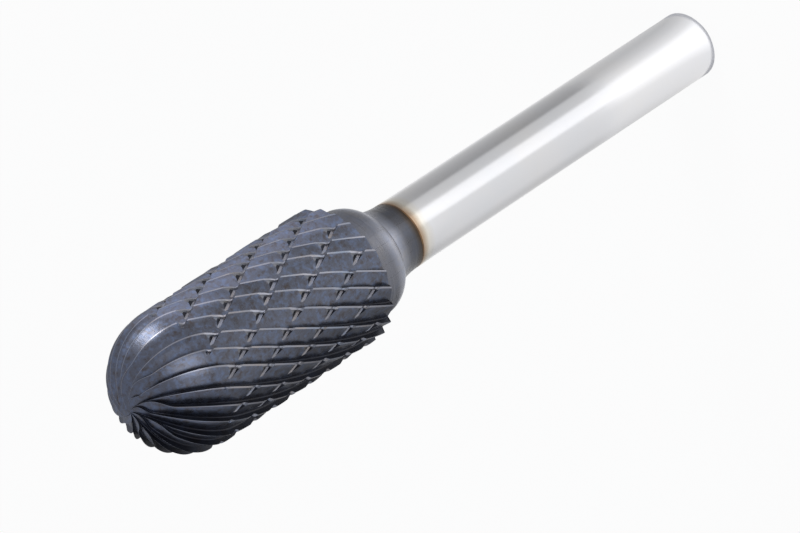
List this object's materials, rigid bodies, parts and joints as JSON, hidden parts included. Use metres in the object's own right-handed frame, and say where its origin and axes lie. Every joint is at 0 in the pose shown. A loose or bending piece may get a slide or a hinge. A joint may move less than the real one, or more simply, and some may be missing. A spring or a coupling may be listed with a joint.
{
  "type": "carbide burr",
  "caption": "Ball-nosed cylindrical carbide burr with cross-cut teeth, brazed to a plain steel shank, for cutting and deburring metal in a rotary tool.",
  "frame": {"origin": "centre of the flat free end of the shank", "axes": "+Z along the tool's axis, from the shank to the ball nose; X and Y square to it"},
  "size_m": [0.012, 0.012, 0.07],
  "materials": {
    "coated_carbide": "dark slate-grey coating, satin, with bright ground cutting edges",
    "braze": "golden braze line with brown heat tint",
    "ground_steel": "bright ground steel, heat tinted beside the joint"
  },
  "bodies": {
    "root": {"cutting_head": "coated_carbide", "braze_seam": "braze", "steel_shank": "ground_steel"}
  },
  "joints": []
}
